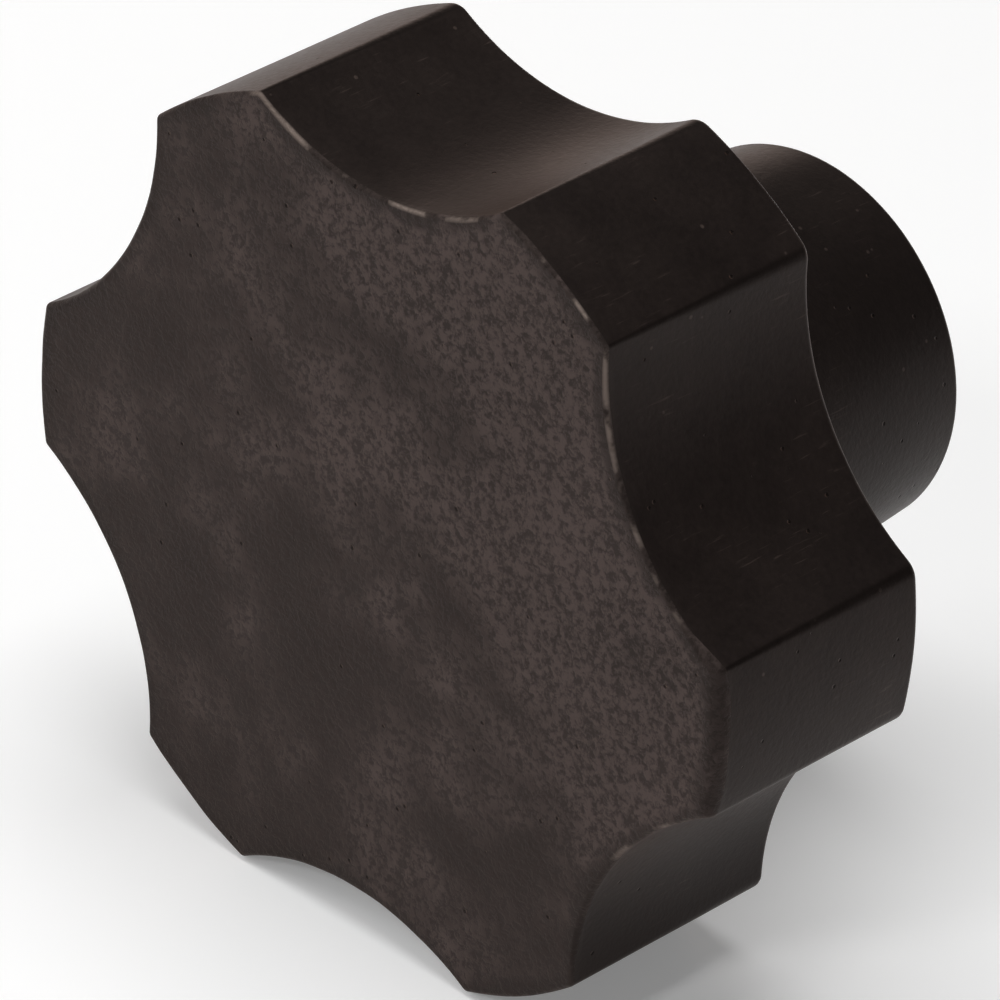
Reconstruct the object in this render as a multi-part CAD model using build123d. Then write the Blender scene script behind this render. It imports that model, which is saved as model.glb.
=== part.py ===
from build123d import *
import math
import os

# Star knob, cast in one piece of grey iron.
#
# A flat head with six lobes sits on a tapered hub, and a blind tapped hole enters the hub's end face.
# Lengths are in millimetres and angles in degrees.
#
# Every shape is made about the knob's own axis, Z, with the hub's end face at Z = 0 and the flat face
# of the head uppermost. lay_down() then turns the finished knob to the way it rests by itself: on two
# neighbouring lobes, with its flat face towards -Y, its hub towards +Y and the floor at Z = 0.

# Head
LOBE_COUNT = 6
HEAD_DIAMETER = 50.0  # over the tips of the lobes, at the back face
HEAD_THICKNESS = 14.6
HEAD_DRAFT = 1.0  # lean of the side walls, which close in towards the flat face
LOBE_TIP_WIDTH = 9.0  # across one tip, between its corners before they are rounded
LOBE_CORNER_RADIUS = 1.3
SCALLOP_DEPTH = 3.9  # from the circle of the tips to the bottom of a scallop
FACE_EDGE_RADIUS = 0.35  # edge round the flat face
BACK_EDGE_CHAMFER = 0.4  # edge round the back of the head

# Hub
HUB_LENGTH = 19.4
HUB_END_DIAMETER = 22.0
HUB_DRAFT = 4.3  # lean of the hub's wall, which widens towards the head
HUB_ROOT_FILLET = 2.0
HUB_END_CHAMFER = 0.3

# Blind hole for an M10 thread. The thread itself is too fine for this model: the bore has the size of
# the tap drill, so the wall stands where the crests of the thread do.
TAP_DRILL_DIAMETER = 8.5
THREAD_LENGTH = 15.0
TAP_RUNOUT = 3.0  # plain bore between the last full thread and the drill's point
DRILL_POINT_ANGLE = 118.0
COUNTERSINK_DIAMETER = 10.5
COUNTERSINK_ANGLE = 90.0

NODE = "star_knob"


def scallop_circle():
    """Return the circle of one scallop: its centre's distance from the knob's axis, and its radius.

    The circle passes through the bottom of the scallop and the corners of the two tips beside it.
    """
    tip_radius = HEAD_DIAMETER / 2
    waist_radius = tip_radius - SCALLOP_DEPTH
    corner_angle = math.pi / LOBE_COUNT - math.asin(LOBE_TIP_WIDTH / HEAD_DIAMETER)
    corner_reach = tip_radius * math.cos(corner_angle)
    centre = (tip_radius**2 - waist_radius**2) / (2 * (corner_reach - waist_radius))
    return centre, centre - waist_radius


def star_outline():
    """Return the head's outline at its back face: a disc with a scallop cut between each two lobes.

    One scallop points along -Y. The disc starts there, so that no tip holds the seam of its circle.
    """
    scallop_centre, scallop_radius = scallop_circle()
    disc = Rot(0, 0, -90) * Circle(HEAD_DIAMETER / 2)
    scallops = PolarLocations(scallop_centre, LOBE_COUNT, start_angle=-90) * Circle(scallop_radius)
    star = disc - scallops
    return fillet(star.vertices(), LOBE_CORNER_RADIUS)


def make_head():
    """Return the head: the outline drawn up, its side walls drafted, and the edges of its two rims broken.

    The rim of the flat face is rounded, and the rim at the back has a small chamfer.
    """
    back = Plane.XY.offset(HUB_LENGTH)
    head = extrude(back * star_outline(), HEAD_THICKNESS)
    head = draft(head.faces().filter_by(GeomType.CYLINDER), back, HEAD_DRAFT)
    head = fillet(head.faces().sort_by(Axis.Z)[-1].edges(), FACE_EDGE_RADIUS)
    return chamfer(head.faces().sort_by(Axis.Z)[0].edges(), BACK_EDGE_CHAMFER)


def hub_radius_at_head():
    """Return the radius at which the hub's wall meets the back of the head."""
    return HUB_END_DIAMETER / 2 + HUB_LENGTH * math.tan(math.radians(HUB_DRAFT))


def make_hub():
    """Return the tapered hub, from its chamfered end face to the back of the head."""
    standing = (Align.CENTER, Align.CENTER, Align.MIN)
    hub = Cone(HUB_END_DIAMETER / 2, hub_radius_at_head(), HUB_LENGTH, align=standing)
    return chamfer(hub.faces().sort_by(Axis.Z)[0].edges(), HUB_END_CHAMFER)


def join_hub(head, hub):
    """Return head and hub as one casting, with a fillet where the hub grows out of the head."""
    casting = head + hub
    root = casting.edges().sort_by_distance((0, hub_radius_at_head(), HUB_LENGTH))[0]
    return fillet(root, HUB_ROOT_FILLET)


def make_hole():
    """Return what the drill and the countersink take out of the hub."""
    bore_radius = TAP_DRILL_DIAMETER / 2
    mouth_radius = COUNTERSINK_DIAMETER / 2
    countersink_depth = (mouth_radius - bore_radius) / math.tan(math.radians(COUNTERSINK_ANGLE / 2))
    bore_depth = THREAD_LENGTH + TAP_RUNOUT
    point_depth = bore_radius / math.tan(math.radians(DRILL_POINT_ANGLE / 2))
    half_section = Polyline(
        (0, 0),
        (mouth_radius, 0),
        (bore_radius, countersink_depth),
        (bore_radius, bore_depth),
        (0, bore_depth + point_depth),
        close=True,
    )
    return revolve(Plane.XZ * make_face(half_section), Axis.Z)


def axis_height():
    """Return the height of the knob's axis over the floor when it lies on two neighbouring lobes.

    The knob then touches the floor with the rounded corners on either side of its lowest scallop.
    """
    scallop_centre, scallop_radius = scallop_circle()
    corner_reach = HEAD_DIAMETER / 2 - LOBE_CORNER_RADIUS
    corner_spacing = scallop_radius + LOBE_CORNER_RADIUS
    cosine = (scallop_centre**2 + corner_reach**2 - corner_spacing**2) / (2 * scallop_centre * corner_reach)
    return corner_reach * cosine + LOBE_CORNER_RADIUS


def lay_down(knob):
    """Return the knob lying on two lobes, centred over the origin."""
    half_length = (HUB_LENGTH + HEAD_THICKNESS) / 2
    return Pos(0, half_length, axis_height()) * Rot(90, 0, 0) * knob


def make_star_knob():
    """Return the whole knob, one solid."""
    return lay_down(join_hub(make_head(), make_hub()) - make_hole())


os.makedirs("parts", exist_ok=True)
export_step(make_star_knob(), f"parts/{NODE}.step")
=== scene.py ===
"""Star knob of blackened cast iron, with a tapped hole in its hub, lying on two of its lobes.

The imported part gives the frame. The knob seen here is a finer copy of that casting, built about the same
axis and to the same sizes, with its screw thread, uneven rims and the skin of the cast metal added.
Lengths in the classes are millimetres, and every mesh is written in metres.
"""

import logging
import math
from collections.abc import Callable, Sequence
from dataclasses import dataclass, field
from enum import Enum
from functools import partial
from typing import Any

import bpy
import numpy as np
from mathutils import Euler, Matrix, Vector


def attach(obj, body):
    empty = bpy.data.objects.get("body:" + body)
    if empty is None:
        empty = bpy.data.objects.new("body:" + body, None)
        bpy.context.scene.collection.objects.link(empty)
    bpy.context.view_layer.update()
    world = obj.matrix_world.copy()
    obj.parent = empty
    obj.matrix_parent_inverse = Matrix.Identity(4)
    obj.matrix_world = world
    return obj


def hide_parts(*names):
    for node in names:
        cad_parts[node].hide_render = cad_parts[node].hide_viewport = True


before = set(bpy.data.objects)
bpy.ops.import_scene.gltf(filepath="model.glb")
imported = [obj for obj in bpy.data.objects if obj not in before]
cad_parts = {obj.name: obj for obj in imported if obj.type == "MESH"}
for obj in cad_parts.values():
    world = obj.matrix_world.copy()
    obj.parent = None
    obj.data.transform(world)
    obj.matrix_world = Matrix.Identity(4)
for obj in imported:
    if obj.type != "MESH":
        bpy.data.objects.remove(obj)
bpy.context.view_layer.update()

logging.basicConfig(level=logging.INFO, format="%(message)s")
log = logging.getLogger("star_knob")

MM = 0.001
NODE = "star_knob"

MATHS = "ShaderNodeMath"
VECTOR = "ShaderNodeVectorMath"
NOISE = "ShaderNodeTexNoise"
SPAN = "ShaderNodeMapRange"
MIX = "ShaderNodeMix"
MOVE = "GeometryNodeSetPosition"
NAMED = "GeometryNodeInputNamedAttribute"


# ---------------------------------------------------------------------------------------------------------
# Small helpers
# ---------------------------------------------------------------------------------------------------------


def linear(hex_colour: str) -> tuple[float, float, float, float]:
    """Turn an sRGB colour into the linear one that a shader takes.

    Args:
        hex_colour: The colour as six hex digits.

    Returns:
        Red, green, blue and an alpha of 1.
    """
    parts = [int(hex_colour[i : i + 2], 16) / 255 for i in (0, 2, 4)]
    red, green, blue = (c / 12.92 if c <= 0.04045 else ((c + 0.055) / 1.055) ** 2.4 for c in parts)
    return red, green, blue, 1.0


def per_metre(size_mm: float) -> float:
    """Return the scale of a pattern in object coordinates whose features are size_mm across."""
    return 1000.0 / size_mm


def add_node(
    tree: bpy.types.NodeTree, kind: str, inputs: dict | Sequence = (), **settings: Any
) -> bpy.types.Node:
    """Add one node to a tree, with its settings, values and links.

    Args:
        tree: The material, world or geometry tree.
        kind: The node's type name.
        inputs: What feeds each input: a value, a socket, or a node whose first output is meant. A dictionary
            names the inputs, and a sequence fills those in use in their order, with None for one left alone.
        **settings: Properties of the node itself.

    Returns:
        The new node.
    """
    node = tree.nodes.new(kind)
    for name, value in settings.items():
        setattr(node, name, value)
    if isinstance(inputs, dict):
        pairs = [(node.inputs[key], value) for key, value in inputs.items()]
    else:
        pairs = list(zip([socket for socket in node.inputs if socket.enabled], inputs))
    for socket, value in pairs:
        if isinstance(value, bpy.types.Node):
            value = next(output for output in value.outputs if output.enabled)
        if isinstance(value, bpy.types.NodeSocket):
            tree.links.new(value, socket)
        elif value is not None:
            socket.default_value = value
    return node


def emptied_tree(owner: bpy.types.Material | bpy.types.World) -> bpy.types.NodeTree:
    """Turn on the nodes of a material or a world, and clear them away.

    Args:
        owner: The material or the world.

    Returns:
        Its tree, without a node.
    """
    owner.use_nodes = True
    owner.node_tree.nodes.clear()
    return owner.node_tree


class Skin(Enum):
    """The finishes on the casting, numbered as its faces carry them."""

    FACE = 0
    SIDE = 1
    HUB = 2
    THREAD = 3


# ---------------------------------------------------------------------------------------------------------
# Shape
# ---------------------------------------------------------------------------------------------------------


@dataclass(frozen=True)
class StarOutline:
    """Outline of the head at its back face: lobes with rounded corners, and a scallop between each two."""

    lobes: int = 6
    tip_radius: float = 25.0
    tip_width: float = 9.0
    corner_radius: float = 1.3
    face_corner_radius: float = 0.7  # the same corners at the flat face, before the draft
    scallop_depth: float = 3.9
    tip_steps: int = 8
    corner_steps: int = 8
    scallop_steps: int = 20

    @property
    def half_pitch(self) -> float:
        """Angle from the middle of a lobe to the middle of a scallop."""
        return math.pi / self.lobes

    @property
    def columns(self) -> int:
        """Number of steps across one lobe, from one scallop's middle to the next."""
        return 2 * (self.tip_steps + self.corner_steps + self.scallop_steps)

    def corners(self) -> np.ndarray:
        """Mark the columns on the rounded corners.

        Returns:
            For each column, 1 in the middle of a corner, falling to 0 at its ends.
        """
        steps = np.abs(np.arange(-self.columns // 2, self.columns // 2 + 1))
        middle = self.tip_steps + self.corner_steps / 2
        return np.clip(1 - np.abs(steps - middle) / (self.corner_steps / 2), 0, 1)

    def scallop_circle(self) -> tuple[float, float]:
        """Find the circle of a scallop, which passes through its bottom and the tips' corners beside it.

        Returns:
            The distance of the circle's centre from the axis, and its radius.
        """
        waist = self.tip_radius - self.scallop_depth
        corner = self.half_pitch - math.asin(self.tip_width / (2 * self.tip_radius))
        reach = self.tip_radius * math.cos(corner)
        centre = (self.tip_radius**2 - waist**2) / (2 * (reach - waist))
        return centre, centre - waist

    def corner_cosine(self, corner_radius: float) -> float:
        """Return the cosine of the angle from a scallop's middle to the centre of a corner beside it.

        Args:
            corner_radius: The radius of the corners beside the tip.

        Returns:
            The cosine, seen from the axis.
        """
        centre, radius = self.scallop_circle()
        reach = self.tip_radius - corner_radius
        spread = radius + corner_radius
        return (centre**2 + reach**2 - spread**2) / (2 * centre * reach)

    def lobe(self, corner_radius: float) -> tuple[np.ndarray, np.ndarray]:
        """Follow the outline across the lobe that points along +X.

        Args:
            corner_radius: The radius of the corners beside the tip.

        Returns:
            The outline's points and its outward normals, one row for each column, in (x, z).
        """
        centre, radius = self.scallop_circle()
        corner_angle = self.half_pitch - math.acos(self.corner_cosine(corner_radius))
        reach = self.tip_radius - corner_radius
        corner_centre = reach * np.array([math.cos(corner_angle), math.sin(corner_angle)])
        scallop_centre = centre * np.array([math.cos(self.half_pitch), math.sin(self.half_pitch)])
        turn = math.atan2(*(scallop_centre - corner_centre)[::-1])

        def arc(
            middle: np.ndarray, size: float, start: float, end: float, steps: int
        ) -> tuple[np.ndarray, np.ndarray]:
            """Follow an arc, without its first point.

            Args:
                middle: The arc's centre.
                size: Its radius, negative where the outline is hollow.
                start: The angle it starts at.
                end: The angle it ends at.
                steps: How many points it gets.

            Returns:
                The points and the outward normals.
            """
            angles = np.linspace(start, end, steps + 1)[1:]
            normals = np.stack([np.cos(angles), np.sin(angles)], 1)
            return middle + size * normals, normals

        origin = np.zeros(2)
        runs = [
            (np.array([[self.tip_radius, 0.0]]), np.array([[1.0, 0.0]])),
            arc(origin, self.tip_radius, 0, corner_angle, self.tip_steps),
            arc(corner_centre, corner_radius, corner_angle, turn, self.corner_steps),
            arc(scallop_centre, -radius, turn, self.half_pitch, self.scallop_steps),
        ]
        points = np.concatenate([run[0] for run in runs])
        normals = np.concatenate([run[1] for run in runs])
        mirror = np.array([1.0, -1.0])
        return (
            np.concatenate([points[:0:-1] * mirror, points]),
            np.concatenate([normals[:0:-1] * mirror, normals]),
        )


@dataclass(frozen=True)
class Ring:
    """One ring of vertices round the axis, as far as it crosses one lobe."""

    points: np.ndarray  # (x, z) of each column
    y: float
    skin: Skin  # finish of the faces before it
    edge: float = 0.0  # 1 on an edge that takes rubbed wear and, along one side, the painted highlight
    rim: float = 0.0  # 1 beside the rim of the flat face, falling to 0 inwards
    shrink: float = 0.0  # how far it moves towards the axis for each millimetre that the rim is rounder
    sink: float = 0.0  # and how far along the axis
    corner: float | np.ndarray = 0.0  # 1 on the corner between a lobe's tip and a scallop


@dataclass
class KnobCasting:
    """The knob in one piece: a star-shaped head, a tapered hub, and the tapped hole in the hub's end."""

    outline: StarOutline = field(default_factory=StarOutline)
    head_thickness: float = 14.6
    head_draft: float = 1.0
    face_edge_radius: float = 0.22
    back_edge_radius: float = 0.4
    hub_length: float = 19.4
    hub_end_radius: float = 11.0
    hub_draft: float = 4.3
    hub_root_fillet: float = 2.0
    hub_edge_radius: float = 0.3
    bore_radius: float = 4.25
    mouth_radius: float = 5.25
    thread_length: float = 15.0
    thread_root_radius: float = 5.0
    thread_pitch: float = 1.5
    thread_root_flat: float = 0.26
    bore_depth: float = 18.0
    drill_angle: float = 118.0
    rim_wear: float = 0.18  # how much rounder the rim of the flat face is in places
    deep_rim_wear: float = 0.55  # and on one lobe
    waviness: float = 0.08
    waviness_size: float = 7.0
    rim_band: float = 2.2  # width of the smoother band beside the rim of the flat face
    wall_band: float = 3.0  # how far down the side wall the wear of the rim reaches
    deep_wear: tuple[float, float] = (0.25, 0.13)  # angles between which the deep wear sets in on its lobe
    blunt: tuple[float, float] = (0.3, 0.2)  # and between which the edge's rubbed wear and painted highlight are lost
    bore_share: int = 4  # head columns to each column of the bore
    name: str = "star_knob_casting"
    marks: tuple[str, ...] = ("edge", "rim", "shrink", "sink", "corner")

    @property
    def face_y(self) -> float:
        """Where the flat face lies on the axis."""
        return -(self.head_thickness + self.hub_length) / 2

    @property
    def back_y(self) -> float:
        """Where the back of the head lies on the axis."""
        return self.face_y + self.head_thickness

    @property
    def end_y(self) -> float:
        """Where the hub's end face lies on the axis."""
        return self.back_y + self.hub_length

    @property
    def drill_point(self) -> float:
        """Depth of the cone that the drill leaves at the bottom of the hole."""
        return self.bore_radius / math.tan(math.radians(self.drill_angle / 2))

    def axis_height(self) -> float:
        """Return the height of the knob's axis over the floor, as it lies on two neighbouring lobes."""
        corner = self.outline.corner_radius
        return (self.outline.tip_radius - corner) * self.outline.corner_cosine(corner) + corner

    def wall(self, y: float, inset: float = 0.0) -> np.ndarray:
        """Follow the drafted side wall across one lobe.

        Args:
            y: Where on the axis.
            inset: How far inside the wall.

        Returns:
            The points across the lobe, in (x, z).
        """
        before_back = self.back_y - y
        share = before_back / self.head_thickness
        corner = self.outline.corner_radius
        points, normals = self.outline.lobe(corner + (self.outline.face_corner_radius - corner) * share)
        return points - normals * (inset + before_back * math.tan(math.radians(self.head_draft)))

    def head_rings(self) -> list[Ring]:
        """List the rings of the head and the hub, from the middle of the flat face to the hub's end face.

        Returns:
            The rings in order.
        """
        count = self.outline.columns
        even = np.linspace(-self.outline.half_pitch, self.outline.half_pitch, count + 1)
        circle = np.stack([np.cos(even), np.sin(even)], 1)
        corners = self.outline.corners()
        rings: list[Ring] = []

        edge = self.face_edge_radius
        rim = self.wall(self.face_y, edge)
        for share in (0.02, *np.linspace(0.06, 0.9, 22), 0.925, 0.95, 0.97, 0.985, 0.995, 1.0):
            beside = max(0.0, 1 - (1 - share) * self.outline.tip_radius / self.rim_band)
            rings.append(Ring(rim * share, self.face_y, Skin.FACE, rim=beside, shrink=beside))
        for angle in np.radians(np.linspace(0, 90, 8)[1:]):
            shrink, sink = 1 - math.sin(angle), 1 - math.cos(angle)
            y = self.face_y + edge * sink
            rubbed_and_highlight = math.sin(2 * angle)
            wall = self.wall(y, edge * shrink)
            rings.append(Ring(wall, y, Skin.FACE, edge=rubbed_and_highlight, rim=1, shrink=shrink, sink=sink))

        first, last = self.face_y + edge, self.back_y - self.back_edge_radius
        for y in (first + 0.08, *np.linspace(first + 0.4, last - 0.4, 15), last - 0.08, last):
            sink = max(0.0, 1 - (y - first) / self.wall_band)
            beside = max(0.0, 4 * sink - 3)
            rings.append(Ring(self.wall(y), y, Skin.SIDE, rim=beside, sink=sink, corner=corners))
        edge = self.back_edge_radius
        for angle in np.radians(np.linspace(0, 90, 7)[1:]):
            y = last + edge * math.sin(angle)
            rings.append(Ring(self.wall(y, edge * (1 - math.cos(angle))), y, Skin.SIDE, edge=1))

        slope = math.radians(self.hub_draft)
        root = self.hub_root_fillet
        foot = self.hub_end_radius + self.hub_length * math.tan(slope)
        middle = foot - root * math.tan(slope) + root / math.cos(slope)
        rim = self.wall(self.back_y, edge)
        for share in (0.03, 0.12, 0.25, 0.4, 0.55, 0.7, 0.85, 0.97, 1.0):
            rings.append(Ring(rim * (1 - share) + circle * middle * share, self.back_y, Skin.SIDE))
        for angle in np.linspace(-math.pi / 2, -math.pi + slope, 10)[1:]:
            radius = middle + root * math.cos(angle)
            rings.append(Ring(circle * radius, self.back_y + root + root * math.sin(angle), Skin.HUB))

        edge = self.hub_edge_radius
        start, stop = rings[-1].y, self.end_y - edge
        for y in (start + 0.1, *np.linspace(start + 1, stop - 0.6, 16), stop - 0.06, stop):
            rings.append(Ring(circle * (self.hub_end_radius + (self.end_y - y) * math.tan(slope)), y, Skin.HUB))
        for angle in np.radians(np.linspace(0, 90, 6)[1:]):
            radius = self.hub_end_radius - edge * (1 - math.cos(angle))
            rings.append(Ring(circle * radius, stop + edge * math.sin(angle), Skin.HUB, edge=1))
        for radius in (self.hub_end_radius - edge - 0.06, self.hub_end_radius - 1.2, 8.4):
            rings.append(Ring(circle * radius, self.end_y, Skin.HUB))
        return rings

    def bore_rings(self) -> list[Ring]:
        """List the rings from the hub's end face through the countersink and down the bore.

        Returns:
            The rings in order, each with fewer columns than those of the head.
        """
        count = self.outline.columns // self.bore_share
        even = np.linspace(-self.outline.half_pitch, self.outline.half_pitch, count + 1)
        circle = np.stack([np.cos(even), np.sin(even)], 1)
        rings = [Ring(circle * radius, self.end_y, Skin.HUB) for radius in (7.0, 5.6, self.mouth_radius + 0.04)]
        depth = self.mouth_radius - self.bore_radius
        for share in np.linspace(0, 1, 14):
            radius = self.mouth_radius - depth * share
            rings.append(Ring(circle * radius, self.end_y - depth * share, Skin.THREAD))
        turns = (self.thread_length - depth) / self.thread_pitch
        start, stop = self.end_y - depth, self.end_y - self.thread_length
        bottom = self.end_y - self.bore_depth
        for y in (*np.linspace(start, stop, round(turns * 20))[1:], *np.linspace(stop, bottom, 12)[1:]):
            rings.append(Ring(circle * self.bore_radius, y, Skin.THREAD))
        for share in (0.02, 0.3, 0.6, 0.9):
            y = bottom - self.drill_point * share
            rings.append(Ring(circle * self.bore_radius * (1 - share), y, Skin.THREAD))
        return rings

    def lobe_mesh(self) -> bpy.types.Object:
        """Build the sixth part of the casting that holds the lobe along +X, about the axis y.

        Returns:
            An object with that open mesh. Its faces carry the number of their finish, and its vertices how
            near they are to an edge, which takes rubbed wear and the painted highlight, and to the rim of the
            flat face.
        """
        bottom = self.end_y - self.bore_depth - self.drill_point
        verts = [(0.0, self.face_y * MM, 0.0), (0.0, bottom * MM, 0.0)]
        marks: dict[str, list[float]] = {name: [0.0, 0.0] for name in self.marks}
        faces: list[tuple[int, ...]] = []
        skins: list[int] = []

        def lay(ring: Ring) -> list[int]:
            """Add a ring's vertices.

            Args:
                ring: The ring.

            Returns:
                The vertices' numbers.
            """
            start = len(verts)
            verts.extend((float(x) * MM, ring.y * MM, float(z) * MM) for x, z in ring.points)
            for name, values in marks.items():
                values.extend(np.broadcast_to(getattr(ring, name), len(ring.points)))
            return list(range(start, len(verts)))

        def add(skin: Skin, *corners: int) -> None:
            """Add one face.

            Args:
                skin: Its finish.
                *corners: The numbers of its vertices.
            """
            faces.append(corners)
            skins.append(skin.value)

        def band(before: list[int], after: list[int], skin: Skin) -> None:
            """Join two rings of the same number of columns.

            Args:
                before: The vertices of the first ring.
                after: The vertices of the second ring.
                skin: The finish of the faces between them.
            """
            for corners in zip(before, after, after[1:], before[1:]):
                add(skin, *corners)

        head, bore = self.head_rings(), self.bore_rings()
        outer, inner = [lay(ring) for ring in head], [lay(ring) for ring in bore]
        for a, b in zip(outer[0], outer[0][1:]):
            add(Skin.FACE, 0, a, b)
        for before, after, ring in zip(outer, outer[1:], head[1:]):
            band(before, after, ring.skin)
        half = self.bore_share // 2
        for i, (a, b) in enumerate(zip(inner[0], inner[0][1:])):
            wide = outer[-1][i * self.bore_share : (i + 1) * self.bore_share + 1]
            for left, right in zip(wide[:half], wide[1 : half + 1]):
                add(Skin.HUB, left, a, right)
            add(Skin.HUB, wide[half], a, b)
            for left, right in zip(wide[half:], wide[half + 1 :]):
                add(Skin.HUB, left, b, right)
        for before, after, ring in zip(inner, inner[1:], bore[1:]):
            band(before, after, ring.skin)
        for a, b in zip(inner[-1], inner[-1][1:]):
            add(Skin.THREAD, 1, b, a)

        mesh = bpy.data.meshes.new("lobe")
        mesh.from_pydata(verts, [], faces)
        mesh.attributes.new("skin", "INT", "FACE").data.foreach_set("value", skins)
        for name, values in marks.items():
            mesh.attributes.new(name, "FLOAT", "POINT").data.foreach_set("value", values)
        lobe = bpy.data.objects.new("lobe", mesh)
        bpy.context.scene.collection.objects.link(lobe)
        return lobe

    def tree(self) -> bpy.types.NodeTree:
        """Write the rule that turns one lobe into the casting.

        The lobe is set out round the axis, welded, lifted to its place over the floor, cut with the thread,
        and given the slow unevenness of a casting. The unevenness only goes inwards.

        Returns:
            The geometry tree, with its sizes as named inputs.
        """
        tree = bpy.data.node_groups.new("casting_rule", "GeometryNodeTree")
        sockets = [
            ("Lobe", "NodeSocketGeometry"),
            ("Lobes", "NodeSocketInt"),
            ("Weld distance", "NodeSocketFloat"),
            ("Axis height", "NodeSocketFloat"),
            ("Thread crest radius", "NodeSocketFloat"),
            ("Thread root radius", "NodeSocketFloat"),
            ("Thread root flat", "NodeSocketFloat"),
            ("Thread pitch", "NodeSocketFloat"),
            ("Thread end", "NodeSocketFloat"),
            ("Rim wear", "NodeSocketFloat"),
            ("Deep rim wear", "NodeSocketFloat"),
            ("Waviness", "NodeSocketFloat"),
            ("Waviness scale", "NodeSocketFloat"),
            ("Seed", "NodeSocketFloat"),
            ("Face skin", "NodeSocketMaterial"),
            ("Side skin", "NodeSocketMaterial"),
            ("Hub skin", "NodeSocketMaterial"),
            ("Thread skin", "NodeSocketMaterial"),
        ]
        for name, kind in sockets:
            tree.interface.new_socket(name, in_out="INPUT", socket_type=kind)
        tree.interface.new_socket("Casting", in_out="OUTPUT", socket_type="NodeSocketGeometry")
        node = partial(add_node, tree)
        given = node("NodeGroupInput").outputs

        # The lobes, set out round the axis and welded
        places = node("GeometryNodeMeshLine", {"Count": given["Lobes"], "Offset": (0, 0, 0)})
        steps = node(MATHS, (node("GeometryNodeInputIndex"), -math.tau), operation="MULTIPLY")
        turn = node(MATHS, (steps, given["Lobes"]), operation="DIVIDE")
        turn = node("ShaderNodeCombineXYZ", {"Y": turn})
        ring = node(
            "GeometryNodeInstanceOnPoints", {"Points": places, "Instance": given["Lobe"], "Rotation": turn}
        )
        real = node("GeometryNodeRealizeInstances", {"Geometry": ring})
        weld = node("GeometryNodeMergeByDistance", {"Geometry": real, "Distance": given["Weld distance"]})

        # The thread: a groove whose depth at each point follows from its distance to the helix along the axis
        position = node("GeometryNodeInputPosition")
        x, y, z = node("ShaderNodeSeparateXYZ", (position,)).outputs
        across = node("ShaderNodeCombineXYZ", {"X": x, "Z": z})
        radius = node(VECTOR, (across,), operation="LENGTH").outputs["Value"]
        angle = node(MATHS, (z, x), operation="ARCTAN2")
        turns = node(MATHS, (angle, math.tau), operation="DIVIDE")
        rise = node(MATHS, (y, given["Thread pitch"]), operation="DIVIDE")
        phase = node(MATHS, (node(MATHS, (rise, turns), operation="ADD"),), operation="FRACT")
        off = node(MATHS, (node(MATHS, (phase, 0.5), operation="SUBTRACT"),), operation="ABSOLUTE")
        off = node(MATHS, (off, given["Thread pitch"]), operation="MULTIPLY")
        flat = node(MATHS, (given["Thread root flat"], 0.5), operation="MULTIPLY")
        flank = node(MATHS, (node(MATHS, (off, flat), operation="SUBTRACT"), 0.0), operation="MAXIMUM")
        flank = node(MATHS, (flank, math.sqrt(3)), operation="MULTIPLY")
        cut = node(MATHS, (given["Thread root radius"], flank), operation="SUBTRACT")
        cut = node(MATHS, (cut, given["Thread crest radius"]), operation="SUBTRACT")
        cut = node(MATHS, (cut, 0.0), operation="MAXIMUM")
        before = node(MATHS, (given["Thread end"], given["Thread pitch"]), operation="SUBTRACT")
        fade = node(SPAN, (y, before, given["Thread end"], 0.0, 1.0))
        wanted = node(MATHS, (cut, fade, given["Thread crest radius"]), operation="MULTIPLY_ADD")
        push = node(MATHS, (node(MATHS, (wanted, radius), operation="SUBTRACT"), 0.0), operation="MAXIMUM")
        unit = node(VECTOR, (across,), operation="NORMALIZE")
        shift = node(VECTOR, {0: unit, "Scale": push}, operation="SCALE")
        skin = node(NAMED, {"Name": "skin"}, data_type="INT")
        is_cut = node("FunctionNodeCompare", (skin, Skin.THREAD.value), data_type="INT", operation="EQUAL")
        threaded = node(MOVE, {"Geometry": weld, "Selection": is_cut, "Offset": shift})

        # The rim of the flat face, rounder here and there, and most of all on the lobe along +X
        noise = node(
            NOISE,
            {"Vector": position, "W": given["Seed"], "Scale": given["Waviness scale"], "Detail": 2.0},
            noise_dimensions="4D",
        )
        lobe_side = node(VECTOR, (unit, (1, 0, 0)), operation="DOT_PRODUCT").outputs["Value"]
        deep = node(SPAN, (lobe_side, *np.cos(self.deep_wear).tolist(), 0.0, 1.0))
        deep = node(MATHS, (deep, given["Deep rim wear"]), operation="MULTIPLY")
        uneven = node(SPAN, (noise, 0.35, 0.65, 0.0, 1.0))
        wear = node(MATHS, (uneven, given["Rim wear"], deep), operation="MULTIPLY_ADD")
        shrink, sink = (
            node(MATHS, (wear, node(NAMED, {"Name": name})), operation="MULTIPLY")
            for name in ("shrink", "sink")
        )
        inwards = node(MATHS, (shrink, -1.0), operation="MULTIPLY")
        worn = node(VECTOR, {0: unit, "Scale": inwards}, operation="SCALE")
        worn = node(VECTOR, (worn, node("ShaderNodeCombineXYZ", {"Y": sink})), operation="ADD")
        worn = node(MOVE, {"Geometry": threaded, "Offset": worn})

        # That lobe's rim is blunt and dark, so its edge mark, which carries rubbed wear and the painted
        # highlight, is taken off
        kept = node(SPAN, (lobe_side, *np.cos(self.blunt).tolist(), 1.0, 0.0))
        kept = node(MATHS, (kept, node(NAMED, {"Name": "edge"})), operation="MULTIPLY")
        worn = node(
            "GeometryNodeStoreNamedAttribute",
            {"Geometry": worn, "Name": "edge", "Value": kept},
            data_type="FLOAT",
            domain="POINT",
        )

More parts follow.
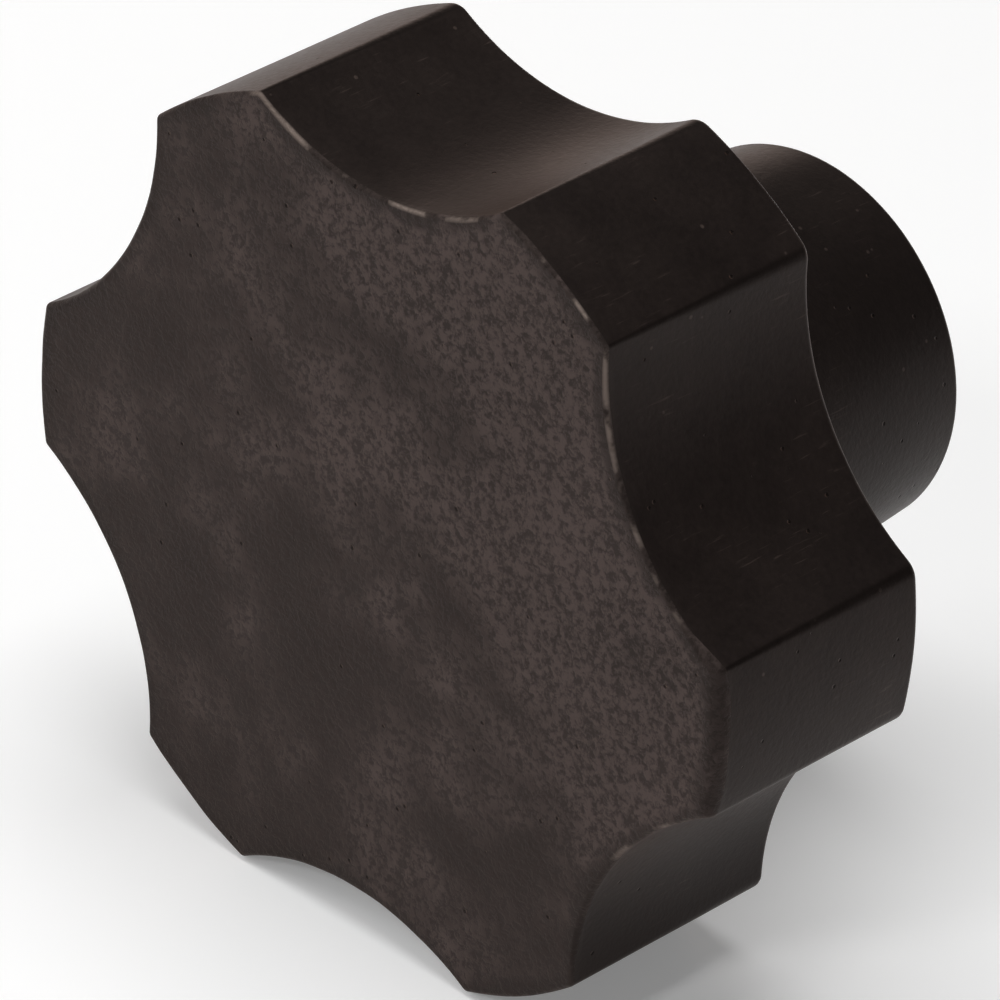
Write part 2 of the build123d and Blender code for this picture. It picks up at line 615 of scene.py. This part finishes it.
        # The slow unevenness of cast metal, inwards only
        depth = node(MATHS, (given["Waviness"], -1.0), operation="MULTIPLY")
        depth = node(MATHS, (noise, depth), operation="MULTIPLY")
        sink = node(VECTOR, {0: node("GeometryNodeInputNormal"), "Scale": depth}, operation="SCALE")
        is_cast = node("FunctionNodeBooleanMath", (is_cut,), operation="NOT")
        uneven = node(MOVE, {"Geometry": worn, "Selection": is_cast, "Offset": sink})

        # The knob's place over the floor, and its finishes
        lift = node("ShaderNodeCombineXYZ", {"Z": given["Axis height"]})
        flow = node("GeometryNodeTransform", {"Geometry": uneven, "Translation": lift})
        flow = node("GeometryNodeSetShadeSmooth", {"Geometry": flow})
        flow = node("GeometryNodeRealizeInstances", {"Geometry": flow})
        for finish in Skin:
            chosen = node("FunctionNodeCompare", (skin, finish.value), data_type="INT", operation="EQUAL")
            flow = node(
                "GeometryNodeSetMaterial",
                {
                    "Geometry": flow,
                    "Selection": chosen,
                    "Material": given[f"{finish.name.capitalize()} skin"],
                },
            )
        node("NodeGroupOutput", {"Casting": flow})
        return tree

    def build(self, skins: dict[Skin, bpy.types.Material]) -> bpy.types.Object:
        """Build the casting's mesh, hide its CAD node, and attach the piece to the root body.

        Args:
            skins: The material of each finish.

        Returns:
            The finished piece.
        """
        lobe = self.lobe_mesh()
        values = {
            "Lobes": self.outline.lobes,
            "Weld distance": 0.002 * MM,
            "Axis height": self.axis_height() * MM,
            "Thread crest radius": self.bore_radius * MM,
            "Thread root radius": self.thread_root_radius * MM,
            "Thread root flat": self.thread_root_flat * MM,
            "Thread pitch": self.thread_pitch * MM,
            "Thread end": (self.end_y - self.thread_length) * MM,
            "Rim wear": self.rim_wear * MM,
            "Deep rim wear": self.deep_rim_wear * MM,
            "Waviness": self.waviness * MM,
            "Waviness scale": per_metre(self.waviness_size),
            "Seed": 4.0,
            "Face skin": skins[Skin.FACE],
            "Side skin": skins[Skin.SIDE],
            "Hub skin": skins[Skin.HUB],
            "Thread skin": skins[Skin.THREAD],
        }
        modifier = lobe.modifiers.new("casting", "NODES")
        modifier.node_group = self.tree()
        for item in modifier.node_group.interface.items_tree:
            if item.in_out == "INPUT" and item.name in values:
                modifier[item.identifier] = values[item.name]
        depsgraph = bpy.context.evaluated_depsgraph_get()
        mesh = bpy.data.meshes.new_from_object(lobe.evaluated_get(depsgraph))
        mesh.name = self.name
        bpy.data.objects.remove(lobe)
        piece = bpy.data.objects.new(self.name, mesh)
        bpy.context.scene.collection.objects.link(piece)
        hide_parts(NODE)
        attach(piece, "root")
        log.info("%s: %d faces, %d materials", self.name, len(mesh.polygons), len(mesh.materials))
        return piece


# ---------------------------------------------------------------------------------------------------------
# Finishes
# ---------------------------------------------------------------------------------------------------------


@dataclass(frozen=True)
class BlackenedIron:
    """Sand-cast grey iron under a thin film of black oxide.

    The film is brownish black and porous, so it reflects little except at a low angle, and what it reflects
    turns brown. Pinholes of the casting show through it. The edges are a little lighter where rubbed, and
    much lighter on the rim along one side of the knob, where the lightness is a painted highlight.
    """

    name: str
    dark: str
    light: str
    roughness: float
    # rubbed iron on the edges, and the painted highlight on the rim along one side
    worn: str = "766a63"
    # the pinholes, and the painted shade along the corners of the lobes
    pinhole_and_painted_shade: str = "0c0a09"
    beside_rim: str = "241f1d"
    rim_wander: float = 2.5
    chip_size: float = 2.2
    highlight_side: tuple[float, float, float] = (0.75, 0.0, 0.66)  # the side whose rim gets the painted highlight
    highlight_from: float = 20.0  # how far towards that side the painted highlight starts
    highlight_to: float = 26.0  # and where it is full
    rubbed_roughness: float = 0.3
    rubbed_metal: float = 0.3
    reflection: str = "ffe4da"
    ior: float = 1.2
    sheen: float = 0.16
    sheen_colour: str = "c49a86"
    sheen_roughness: float = 0.4
    grain_depth: float = 0.02
    pore_spacing: float = 1.7
    pore_radius: float = 0.13
    pore_depth: float = 0.12
    pore_shade: float = 0.8

    def tone(self, node: Callable, where: bpy.types.NodeSocket) -> tuple[bpy.types.Node, bpy.types.Node]:
        """Build the pattern between the dark and the light colour.

        Args:
            node: Adds a node to the material's tree.
            where: The object coordinates.

        Returns:
            The share of the light colour, and the height of the grain from 0 to 1.
        """
        raise NotImplementedError

    def material(self) -> bpy.types.Material:
        """Build the material, with all its patterns in object coordinates.

        Returns:
            The material.
        """
        made = bpy.data.materials.new(self.name)
        node = partial(add_node, emptied_tree(made))
        where = node("ShaderNodeTexCoord").outputs["Object"]
        tone, grain = self.tone(node, where)
        colour = node(MIX, (tone, linear(self.dark), linear(self.light)), data_type="RGBA")

        # Darker and smoother beside the rim of the flat face and over its rounded edge. The edges turn lighter:
        # faintly all round as rubbed iron, and strongly on the rim along one side as a painted highlight
        rim = node("ShaderNodeAttribute", attribute_name="rim").outputs["Fac"]
        edge = node("ShaderNodeAttribute", attribute_name="edge").outputs["Fac"]
        wander = node(NOISE, {"Vector": where, "Scale": per_metre(self.rim_wander), "Detail": 3.0})
        near = node(MATHS, (rim, wander, 0.0), operation="MULTIPLY_ADD")
        near = node(SPAN, (near, 0.25, 0.5, 0.0, 0.75), interpolation_type="SMOOTHSTEP")
        colour = node(MIX, (near, colour, linear(self.beside_rim)), data_type="RGBA")
        chipped = node(NOISE, {"Vector": where, "Scale": per_metre(self.chip_size), "Detail": 4.0})
        chipped = node(SPAN, (chipped, 0.43, 0.55, 0.0, 1.0), interpolation_type="SMOOTHSTEP")
        # Painted highlight: the rim's edges are made much lighter along one side of the knob than the faint
        # rubbed wear elsewhere
        side = node(VECTOR, (where, self.highlight_side), operation="DOT_PRODUCT").outputs["Value"]
        start, full = self.highlight_from * MM, self.highlight_to * MM
        side = node(SPAN, (side, start, full, 0.0, 0.85), interpolation_type="SMOOTHSTEP")
        side = node(MATHS, (side, rim, 0.1), operation="MULTIPLY_ADD")
        rubbed_and_highlight = node(MATHS, (edge, node(MATHS, (chipped, side), operation="MULTIPLY")), operation="MULTIPLY")
        colour = node(MIX, (rubbed_and_highlight, colour, linear(self.worn)), data_type="RGBA")
        # Painted shade: the corners between each lobe's tip and its scallops are darkened
        corner = node("ShaderNodeAttribute", attribute_name="corner").outputs["Fac"]
        corner = node(SPAN, (corner, 0.2, 0.8, 0.0, 0.7), interpolation_type="SMOOTHSTEP")
        colour = node(MIX, (corner, colour, linear(self.pinhole_and_painted_shade)), data_type="RGBA")

        # Pinholes
        cells = node("ShaderNodeTexVoronoi", {"Vector": where, "Scale": per_metre(self.pore_spacing)})
        size = self.pore_radius / self.pore_spacing
        pore = node(SPAN, (cells.outputs["Distance"], size, size * 0.5, 0.0, 1.0))
        shade = node(MATHS, (pore, self.pore_shade), operation="MULTIPLY")
        colour = node(MIX, (shade, colour, linear(self.pinhole_and_painted_shade)), data_type="RGBA")

        # Gloss and relief
        matt = node(SPAN, (grain, 0.0, 1.0, self.roughness - 0.07, self.roughness + 0.07))
        matt = node(MATHS, (near, -0.08, matt), operation="MULTIPLY_ADD")
        matt = node(MIX, (rubbed_and_highlight, matt, self.rubbed_roughness), data_type="FLOAT")
        relief = node(MATHS, (grain, self.grain_depth), operation="MULTIPLY")
        relief = node(MATHS, (pore, -self.pore_depth, relief), operation="MULTIPLY_ADD")
        bump = node("ShaderNodeBump", {"Height": relief, "Distance": MM, "Strength": 1.0})
        shader = node(
            "ShaderNodeBsdfPrincipled",
            {
                "Base Color": colour,
                "Metallic": node(MATHS, (rubbed_and_highlight, self.rubbed_metal), operation="MULTIPLY"),
                "Roughness": matt,
                "IOR": self.ior,
                "Specular Tint": linear(self.reflection),
                "Sheen Weight": self.sheen,
                "Sheen Roughness": self.sheen_roughness,
                "Sheen Tint": linear(self.sheen_colour),
                "Normal": bump,
            },
        )
        node("ShaderNodeOutputMaterial", {"Surface": shader})
        return made


@dataclass(frozen=True)
class MottledFace(BlackenedIron):
    """The flat face: oxide that took unevenly, with a lighter wormy grain in cloudy patches."""

    name: str = "blackened_iron_mottled"
    dark: str = "241f1d"
    light: str = "5b4f4c"
    roughness: float = 0.55
    cloud_size: float = 7.0
    worm_size: float = 0.42
    lean_to: tuple[float, float, float] = (0.75, 0.0, 0.66)  # the side where the patches are densest
    lean_from: float = 15.0
    lean_full: float = 31.0
    mark: tuple[float, float, float] = (-2.0, -17.0, 22.4)  # where the round mark lies
    mark_radius: float = 0.8
    mark_fade: float = 0.3
    mark_wobble: float = 0.9

    def tone(self, node: Callable, where: bpy.types.NodeSocket) -> tuple[bpy.types.Node, bpy.types.Node]:
        """Build the cloudy patches, denser towards one side of the face, and the grain inside them.

        Args:
            node: Adds a node to the material's tree.
            where: The object coordinates.

        Returns:
            The share of the light colour, and the height of the grain from 0 to 1.
        """
        cloud = node(
            NOISE,
            {"Vector": where, "Scale": per_metre(self.cloud_size), "Detail": 4.0, "Roughness": 0.6},
        )
        grain = node(
            NOISE,
            {
                "Vector": where,
                "Scale": per_metre(self.worm_size),
                "Detail": 4.0,
                "Roughness": 0.7,
                "Distortion": 0.3,
            },
        )
        lean = node(VECTOR, (where, self.lean_to), operation="DOT_PRODUCT").outputs["Value"]
        lean = node(SPAN, (lean, self.lean_from * MM, self.lean_full * MM, 0.0, 0.3))
        amount = node(MATHS, (cloud, lean), operation="ADD")
        mottle = node(SPAN, (amount, 0.42, 0.72, 0.12, 1.0), interpolation_type="SMOOTHSTEP")
        worms = node(SPAN, (grain, 0.39, 0.61, 0.0, 1.0), interpolation_type="SMOOTHSTEP")
        broad = node(SPAN, (cloud, 0.3, 0.7, 0.05, 0.17))
        worm_share = node(MATHS, (worms, 0.6), operation="MULTIPLY")
        tone = node(MATHS, (mottle, worm_share, broad), operation="MULTIPLY_ADD")

        # A faint darker round mark near the middle
        off = node(VECTOR, (where, [c * MM for c in self.mark]), operation="DISTANCE")
        off = node(MATHS, (grain, self.mark_wobble * MM, off.outputs["Value"]), operation="MULTIPLY_ADD")
        inside, outside = self.mark_radius * MM, (self.mark_radius + self.mark_fade) * MM
        mark = node(SPAN, (off, outside, inside, 1.0, 0.45), interpolation_type="SMOOTHSTEP")
        return node(MATHS, (tone, mark), operation="MULTIPLY"), worms


@dataclass(frozen=True)
class SatinWall(BlackenedIron):
    """The side walls and the hub: closed, satin oxide with faint scuffs and a few light specks."""

    name: str = "blackened_iron_satin"
    dark: str = "191514"
    light: str = "403733"
    roughness: float = 0.4
    cloud_size: float = 6.0
    grain_size: float = 0.35
    scuff_width: float = 0.15
    scuff_length: float = 2.0
    scuff_turn: tuple[float, float, float] = (0.5, 0.6, 0.9)  # turns the scuffs askew to the knob's axis
    speck_spacing: float = 2.3
    speck_radius: float = 0.14

    def tone(self, node: Callable, where: bpy.types.NodeSocket) -> tuple[bpy.types.Node, bpy.types.Node]:
        """Build the slow change of tone, the fine grain, the scuffs and the specks.

        Args:
            node: Adds a node to the material's tree.
            where: The object coordinates.

        Returns:
            The share of the light colour, and the height of the grain from 0 to 1.
        """
        cloud = node(
            NOISE,
            {"Vector": where, "Scale": per_metre(self.cloud_size), "Detail": 4.0, "Roughness": 0.6},
        )
        grain = node(
            NOISE,
            {"Vector": where, "Scale": per_metre(self.grain_size), "Detail": 3.0, "Roughness": 0.6},
        )
        along, across = per_metre(self.scuff_length), per_metre(self.scuff_width)
        turned = node(
            "ShaderNodeMapping",
            {"Vector": where, "Rotation": self.scuff_turn, "Scale": (across, along, across)},
        )
        scuff = node(NOISE, {"Vector": turned, "Scale": 1.0, "Detail": 2.0})
        scuff = node(SPAN, (scuff, 0.62, 0.76, 0.0, 1.0), interpolation_type="SMOOTHSTEP")
        where_scuffed = node(SPAN, (cloud, 0.48, 0.6, 0.0, 0.6), interpolation_type="SMOOTHSTEP")
        scuff = node(MATHS, (scuff, where_scuffed), operation="MULTIPLY")
        base = node(SPAN, (cloud, 0.3, 0.7, 0.0, 0.2))
        fine = node(SPAN, (grain, 0.3, 0.7, -0.05, 0.05))
        cells = node("ShaderNodeTexVoronoi", {"Vector": where, "Scale": per_metre(self.speck_spacing)})
        size = self.speck_radius / self.speck_spacing
        speck = node(SPAN, (cells.outputs["Distance"], size, size * 0.6, 0.0, 1.0))
        tone = node(MATHS, (node(MATHS, (base, fine), operation="ADD"), scuff), operation="ADD")
        tone = node(MATHS, (tone, speck), operation="ADD", use_clamp=True)
        return tone, grain


@dataclass(frozen=True)
class TappedIron:
    """Grey iron cut by drill and tap, and left bare: grey and half glossy, with old oil in the grooves."""

    name: str = "tapped_grey_iron"
    clean: str = "8d8986"
    oily: str = "4a4440"
    roughness: float = 0.38
    stain_size: float = 1.2

    def material(self) -> bpy.types.Material:
        """Build the material, with its stains in object coordinates.

        Returns:
            The material.
        """
        made = bpy.data.materials.new(self.name)
        node = partial(add_node, emptied_tree(made))
        where = node("ShaderNodeTexCoord").outputs["Object"]
        stain = node(NOISE, {"Vector": where, "Scale": per_metre(self.stain_size), "Detail": 5.0})
        share = node(SPAN, (stain, 0.4, 0.65, 0.0, 1.0))
        colour = node(MIX, (share, linear(self.clean), linear(self.oily)), data_type="RGBA")
        matt = node(SPAN, (stain, 0.3, 0.7, self.roughness - 0.1, self.roughness + 0.15))
        shader = node("ShaderNodeBsdfPrincipled", {"Base Color": colour, "Metallic": 1.0, "Roughness": matt})
        node("ShaderNodeOutputMaterial", {"Surface": shader})
        return made


# ---------------------------------------------------------------------------------------------------------
# Studio
# ---------------------------------------------------------------------------------------------------------


@dataclass(frozen=True)
class Softbox:
    """One square softbox that faces the knob."""

    name: str
    azimuth: float  # its direction from the knob, 0 at the front and 90 on the right
    elevation: float
    distance: float
    size: float  # the length of its side
    strength: float  # the radiance of its face, where 1 is white
    colour: tuple[float, float, float] = (1, 1, 1)


@dataclass
class Studio:
    """A white table under soft lamps, and the camera."""

    aim: tuple[float, float, float] = (-2.230, -4.485, 20.491)
    azimuth: float = 42.935
    elevation: float = 31.243
    roll: float = 2.69
    distance: float = 327.13
    lens: float = 222.683
    sensor: float = 36.0
    aimed_height: float = 20.0  # the height over the table that the lamps face
    floor_size: float = 3000.0
    floor_glow: float = 0.2  # what lifts the table to white where it is seen
    surround: float = 0.1
    softboxes: tuple[Softbox, ...] = (
        Softbox("top", azimuth=0, elevation=89.9, distance=2000, size=1400, strength=4.0),
        Softbox("left", azimuth=-50, elevation=40, distance=1000, size=500, strength=3.5),
        Softbox("accent", azimuth=7, elevation=39, distance=900, size=110, strength=32),
        Softbox(
            "back", azimuth=-130, elevation=9, distance=1100, size=420, strength=1.3, colour=(1, 0.78, 0.68)
        ),
    )

    def camera(self) -> None:
        """Stand the camera in front of the flat face, to its right and above it."""
        turn = Euler((math.radians(90 - self.elevation), 0, math.radians(self.azimuth))).to_matrix()
        turn = (turn @ Matrix.Rotation(math.radians(self.roll), 3, "Z")).to_4x4()
        data = bpy.data.cameras.new("camera")
        data.lens = self.lens
        data.sensor_width = self.sensor
        data.clip_start = 0.01
        data.clip_end = 20
        camera = bpy.data.objects.new("camera", data)
        back = turn @ Vector((0, 0, self.distance * MM))
        camera.matrix_world = Matrix.Translation(Vector(self.aim) * MM + back) @ turn
        bpy.context.scene.collection.objects.link(camera)
        bpy.context.scene.camera = camera

    def lamp(self, box: Softbox) -> None:
        """Hang one softbox.

        Args:
            box: Where it hangs, and what it gives.
        """
        a, e = math.radians(box.azimuth), math.radians(box.elevation)
        away = Vector((math.sin(a) * math.cos(e), -math.cos(a) * math.cos(e), math.sin(e)))
        data = bpy.data.lights.new(box.name, "AREA")
        data.size = box.size * MM
        data.energy = box.strength * math.pi * (box.size * MM) ** 2
        data.color = box.colour
        lamp = bpy.data.objects.new(box.name, data)
        lamp.location = Vector((0, 0, self.aimed_height * MM)) + away * box.distance * MM
        lamp.rotation_euler = away.to_track_quat("Z", "Y").to_euler()
        bpy.context.scene.collection.objects.link(lamp)

    def world(self) -> None:
        """Fill the room with dim even light."""
        world = bpy.data.worlds.new("room")
        node = partial(add_node, emptied_tree(world))
        light = node("ShaderNodeBackground", {"Color": (1, 1, 1, 1), "Strength": self.surround})
        node("ShaderNodeOutputWorld", {"Surface": light})
        bpy.context.scene.world = world

    def floor(self) -> None:
        """Lay the white table top, which keeps the knob's shadow."""
        half = self.floor_size * MM / 2
        mesh = bpy.data.meshes.new("table_top")
        corners = [(-half, -half, 0), (half, -half, 0), (half, half, 0), (-half, half, 0)]
        mesh.from_pydata(corners, [], [(0, 1, 2, 3)])
        made = bpy.data.materials.new("white_laminate")
        node = partial(add_node, emptied_tree(made))
        ray = node("ShaderNodeLightPath").outputs
        seen = node(MATHS, (ray["Is Camera Ray"], ray["Is Glossy Ray"]), operation="MAXIMUM")
        seen = node(MATHS, (seen, ray["Is Transmission Ray"]), operation="MAXIMUM")
        glow = node(MATHS, (seen, self.floor_glow), operation="MULTIPLY")
        shader = node(
            "ShaderNodeBsdfPrincipled",
            {
                "Base Color": linear("f3f3f3"),
                "Roughness": 0.6,
                "Emission Color": (1, 1, 1, 1),
                "Emission Strength": glow,
            },
        )
        node("ShaderNodeOutputMaterial", {"Surface": shader})
        mesh.materials.append(made)
        floor = bpy.data.objects.new("table_top", mesh)
        bpy.context.scene.collection.objects.link(floor)

    def build(self) -> None:
        """Set up the whole studio."""
        self.camera()
        self.world()
        self.floor()
        for box in self.softboxes:
            self.lamp(box)
        bpy.context.scene.view_settings.view_transform = "Standard"


def main() -> None:
    """Build the knob and the studio."""
    skins = {
        Skin.FACE: MottledFace().material(),
        Skin.SIDE: SatinWall().material(),
        Skin.HUB: SatinWall(
            name="blackened_iron_hub", dark="151211", light="38302d", cloud_size=9.0, scuff_length=4.0
        ).material(),
        Skin.THREAD: TappedIron().material(),
    }
    KnobCasting().build(skins)
    Studio().build()
    log.info("boxes written")


if __name__ == "__main__":
    main()
